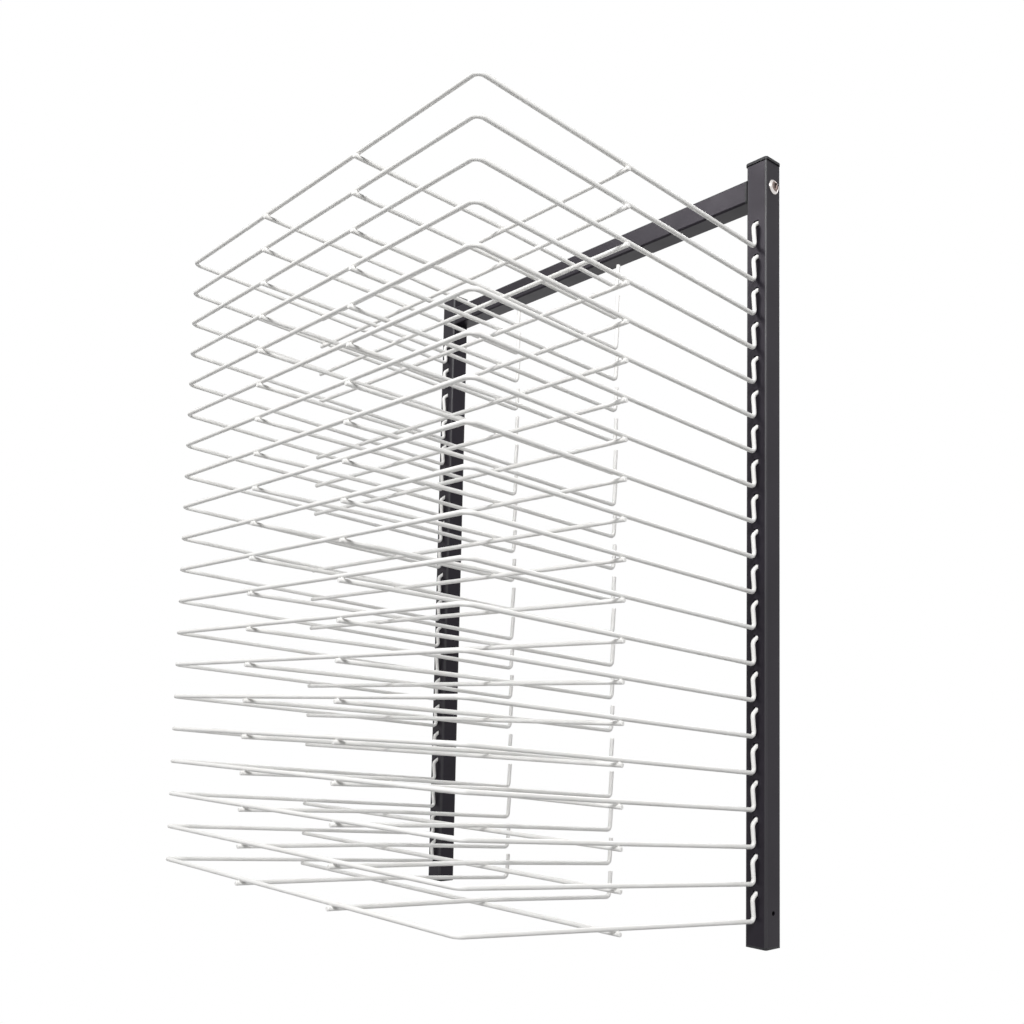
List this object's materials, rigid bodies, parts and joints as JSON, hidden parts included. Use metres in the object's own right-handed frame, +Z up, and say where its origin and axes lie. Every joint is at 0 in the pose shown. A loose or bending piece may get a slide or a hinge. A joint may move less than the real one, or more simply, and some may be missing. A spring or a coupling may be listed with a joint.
{
  "type": "drying rack",
  "caption": "Wall rack for drying artwork: wire shelves hook into slotted square tubes one above another and swing up at the front.",
  "frame": {"origin": "midway between the four keyholes, on the plane of the tubes' back faces, which is the wall", "axes": "+Z up along the tubes, +Y towards the wall, +X to the right as seen from the front"},
  "size_m": [0.4892, 0.3604, 0.716],
  "materials": {
    "wire_paint": "satin white powder coat",
    "frame_paint": "satin black powder coat",
    "black_plastic": "moulded black",
    "zinc_steel": "bright zinc plate"
  },
  "bodies": {
    "frame": {"upright_left": "frame_paint", "upright_right": "frame_paint", "crossbar": "frame_paint", "crossbar_plug_left": "black_plastic", "crossbar_plug_right": "black_plastic", "crossbar_nuts": "zinc_steel", "crossbar_screws": "zinc_steel", "top_cap_left": "black_plastic", "top_cap_right": "black_plastic", "bottom_plug_left": "black_plastic", "bottom_plug_right": "black_plastic"},
    "shelf_01": {"shelf_01_rim": "wire_paint", "shelf_01_grid": "wire_paint"},
    "shelf_02": {"shelf_02_rim": "wire_paint", "shelf_02_grid": "wire_paint"},
    "shelf_03": {"shelf_03_rim": "wire_paint", "shelf_03_grid": "wire_paint"},
    "shelf_04": {"shelf_04_rim": "wire_paint", "shelf_04_grid": "wire_paint"},
    "shelf_05": {"shelf_05_rim": "wire_paint", "shelf_05_grid": "wire_paint"},
    "shelf_06": {"shelf_06_rim": "wire_paint", "shelf_06_grid": "wire_paint"},
    "shelf_07": {"shelf_07_rim": "wire_paint", "shelf_07_grid": "wire_paint"},
    "shelf_08": {"shelf_08_rim": "wire_paint", "shelf_08_grid": "wire_paint"},
    "shelf_09": {"shelf_09_rim": "wire_paint", "shelf_09_grid": "wire_paint"},
    "shelf_10": {"shelf_10_rim": "wire_paint", "shelf_10_grid": "wire_paint"},
    "shelf_11": {"shelf_11_rim": "wire_paint", "shelf_11_grid": "wire_paint"},
    "shelf_12": {"shelf_12_rim": "wire_paint", "shelf_12_grid": "wire_paint"},
    "shelf_13": {"shelf_13_rim": "wire_paint", "shelf_13_grid": "wire_paint"},
    "shelf_14": {"shelf_14_rim": "wire_paint", "shelf_14_grid": "wire_paint"},
    "shelf_15": {"shelf_15_rim": "wire_paint", "shelf_15_grid": "wire_paint"},
    "shelf_16": {"shelf_16_rim": "wire_paint", "shelf_16_grid": "wire_paint"},
    "shelf_17": {"shelf_17_rim": "wire_paint", "shelf_17_grid": "wire_paint"},
    "shelf_18": {"shelf_18_rim": "wire_paint", "shelf_18_grid": "wire_paint"},
    "shelf_19": {"shelf_19_rim": "wire_paint", "shelf_19_grid": "wire_paint"},
    "shelf_20": {"shelf_20_rim": "wire_paint", "shelf_20_grid": "wire_paint"}
  },
  "joints": [
    {"name": "shelf_01_lift", "type": "hinge", "parent": "frame", "child": "shelf_01", "pos_m": [0, -0.0214, -0.311], "axis": [-1, 0, 0], "range_deg": [0, 65]},
    {"name": "shelf_02_lift", "type": "hinge", "parent": "frame", "child": "shelf_02", "pos_m": [0, -0.0214, -0.279], "axis": [-1, 0, 0], "range_deg": [0, 65]},
    {"name": "shelf_03_lift", "type": "hinge", "parent": "frame", "child": "shelf_03", "pos_m": [0, -0.0214, -0.247], "axis": [-1, 0, 0], "range_deg": [0, 65]},
    {"name": "shelf_04_lift", "type": "hinge", "parent": "frame", "child": "shelf_04", "pos_m": [0, -0.0214, -0.215], "axis": [-1, 0, 0], "range_deg": [0, 65]},
    {"name": "shelf_05_lift", "type": "hinge", "parent": "frame", "child": "shelf_05", "pos_m": [0, -0.0214, -0.183], "axis": [-1, 0, 0], "range_deg": [0, 65]},
    {"name": "shelf_06_lift", "type": "hinge", "parent": "frame", "child": "shelf_06", "pos_m": [0, -0.0214, -0.151], "axis": [-1, 0, 0], "range_deg": [0, 65]},
    {"name": "shelf_07_lift", "type": "hinge", "parent": "frame", "child": "shelf_07", "pos_m": [0, -0.0214, -0.119], "axis": [-1, 0, 0], "range_deg": [0, 65]},
    {"name": "shelf_08_lift", "type": "hinge", "parent": "frame", "child": "shelf_08", "pos_m": [0, -0.0214, -0.087], "axis": [-1, 0, 0], "range_deg": [0, 65]},
    {"name": "shelf_09_lift", "type": "hinge", "parent": "frame", "child": "shelf_09", "pos_m": [0, -0.0214, -0.055], "axis": [-1, 0, 0], "range_deg": [0, 65]},
    {"name": "shelf_10_lift", "type": "hinge", "parent": "frame", "child": "shelf_10", "pos_m": [0, -0.0214, -0.023], "axis": [-1, 0, 0], "range_deg": [0, 65]},
    {"name": "shelf_11_lift", "type": "hinge", "parent": "frame", "child": "shelf_11", "pos_m": [0, -0.0214, 0.009], "axis": [-1, 0, 0], "range_deg": [0, 65]},
    {"name": "shelf_12_lift", "type": "hinge", "parent": "frame", "child": "shelf_12", "pos_m": [0, -0.0214, 0.041], "axis": [-1, 0, 0], "range_deg": [0, 65]},
    {"name": "shelf_13_lift", "type": "hinge", "parent": "frame", "child": "shelf_13", "pos_m": [0, -0.0214, 0.073], "axis": [-1, 0, 0], "range_deg": [0, 65]},
    {"name": "shelf_14_lift", "type": "hinge", "parent": "frame", "child": "shelf_14", "pos_m": [0, -0.0214, 0.105], "axis": [-1, 0, 0], "range_deg": [0, 65]},
    {"name": "shelf_15_lift", "type": "hinge", "parent": "frame", "child": "shelf_15", "pos_m": [0, -0.0214, 0.137], "axis": [-1, 0, 0], "range_deg": [0, 65]},
    {"name": "shelf_16_lift", "type": "hinge", "parent": "frame", "child": "shelf_16", "pos_m": [0, -0.0214, 0.169], "axis": [-1, 0, 0], "range_deg": [0, 65]},
    {"name": "shelf_17_lift", "type": "hinge", "parent": "frame", "child": "shelf_17", "pos_m": [0, -0.0214, 0.201], "axis": [-1, 0, 0], "range_deg": [0, 65]},
    {"name": "shelf_18_lift", "type": "hinge", "parent": "frame", "child": "shelf_18", "pos_m": [0, -0.0214, 0.233], "axis": [-1, 0, 0], "range_deg": [0, 65]},
    {"name": "shelf_19_lift", "type": "hinge", "parent": "frame", "child": "shelf_19", "pos_m": [0, -0.0214, 0.265], "axis": [-1, 0, 0], "range_deg": [0, 65]},
    {"name": "shelf_20_lift", "type": "hinge", "parent": "frame", "child": "shelf_20", "pos_m": [0, -0.0214, 0.297], "axis": [-1, 0, 0], "range_deg": [0, 65]}
  ],
  "couplings": [
    {"joint": "shelf_02_lift", "follows": "shelf_01_lift", "ratio": 1},
    {"joint": "shelf_03_lift", "follows": "shelf_01_lift", "ratio": 1},
    {"joint": "shelf_04_lift", "follows": "shelf_01_lift", "ratio": 1},
    {"joint": "shelf_05_lift", "follows": "shelf_01_lift", "ratio": 1},
    {"joint": "shelf_06_lift", "follows": "shelf_01_lift", "ratio": 1},
    {"joint": "shelf_07_lift", "follows": "shelf_01_lift", "ratio": 1},
    {"joint": "shelf_08_lift", "follows": "shelf_01_lift", "ratio": 1},
    {"joint": "shelf_09_lift", "follows": "shelf_01_lift", "ratio": 1},
    {"joint": "shelf_10_lift", "follows": "shelf_01_lift", "ratio": 1},
    {"joint": "shelf_11_lift", "follows": "shelf_01_lift", "ratio": 1},
    {"joint": "shelf_12_lift", "follows": "shelf_01_lift", "ratio": 1},
    {"joint": "shelf_13_lift", "follows": "shelf_01_lift", "ratio": 1},
    {"joint": "shelf_14_lift", "follows": "shelf_01_lift", "ratio": 1},
    {"joint": "shelf_15_lift", "follows": "shelf_01_lift", "ratio": 1},
    {"joint": "shelf_16_lift", "follows": "shelf_01_lift", "ratio": 1},
    {"joint": "shelf_17_lift", "follows": "shelf_01_lift", "ratio": 1},
    {"joint": "shelf_18_lift", "follows": "shelf_01_lift", "ratio": 1},
    {"joint": "shelf_19_lift", "follows": "shelf_01_lift", "ratio": 1},
    {"joint": "shelf_20_lift", "follows": "shelf_01_lift", "ratio": 1}
  ]
}
